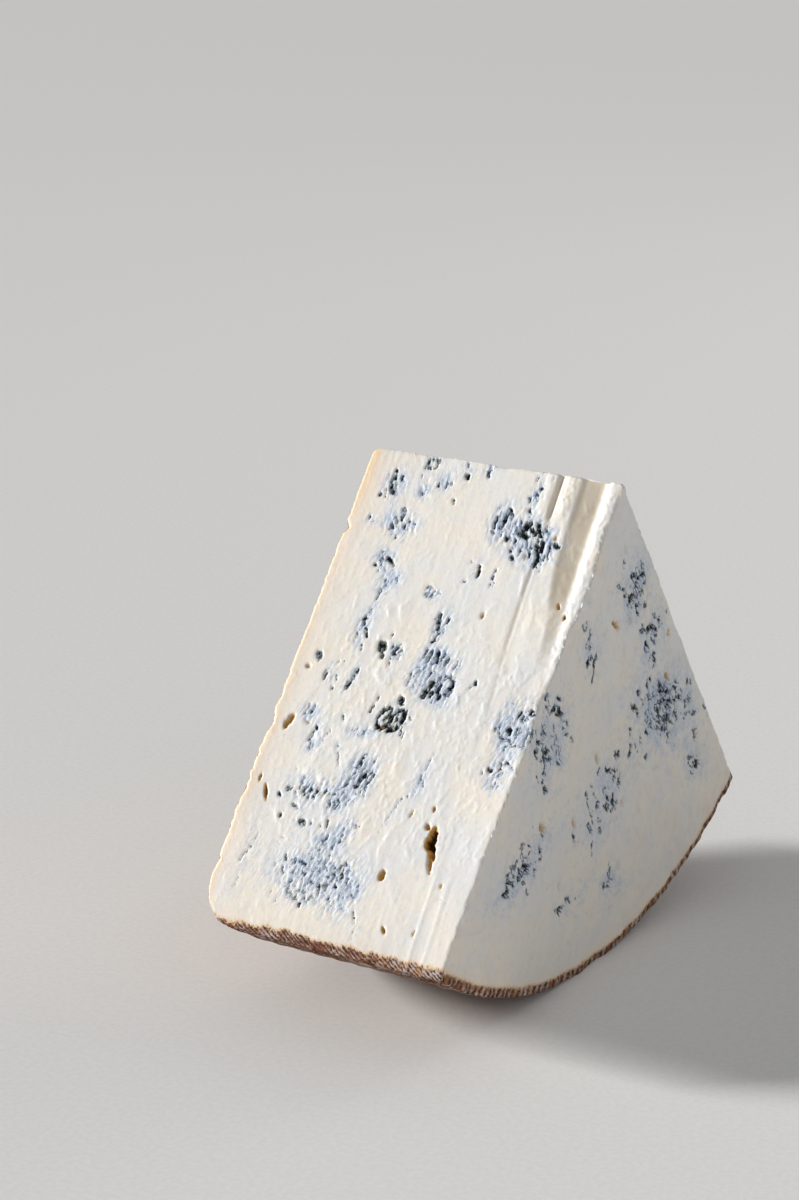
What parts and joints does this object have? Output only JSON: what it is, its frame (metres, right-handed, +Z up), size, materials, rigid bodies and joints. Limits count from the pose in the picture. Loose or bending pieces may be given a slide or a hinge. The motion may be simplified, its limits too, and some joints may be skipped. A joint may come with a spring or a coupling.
{
  "type": "cheese wedge",
  "caption": "Thick wedge of blue-veined cheese, cut from a half-height wheel, standing on its curved rind with its tip up.",
  "frame": {"origin": "bottom centre of the wedge's box, on the flattened foot of the rind that it stands on", "axes": "+Z up towards the tip, +X out of the cut that halved the wheel and along the wheel's axis, -Y towards the side whose long cut face shows the knife's step and the open veins"},
  "size_m": [0.078, 0.17, 0.1377],
  "materials": {
    "blue_veined_paste": "soft moist ivory paste with blue-green veins, under a dry ribbed brown rind dusted with grey-white mould"
  },
  "bodies": {
    "root": {"cheese_wedge": "blue_veined_paste"}
  },
  "joints": []
}
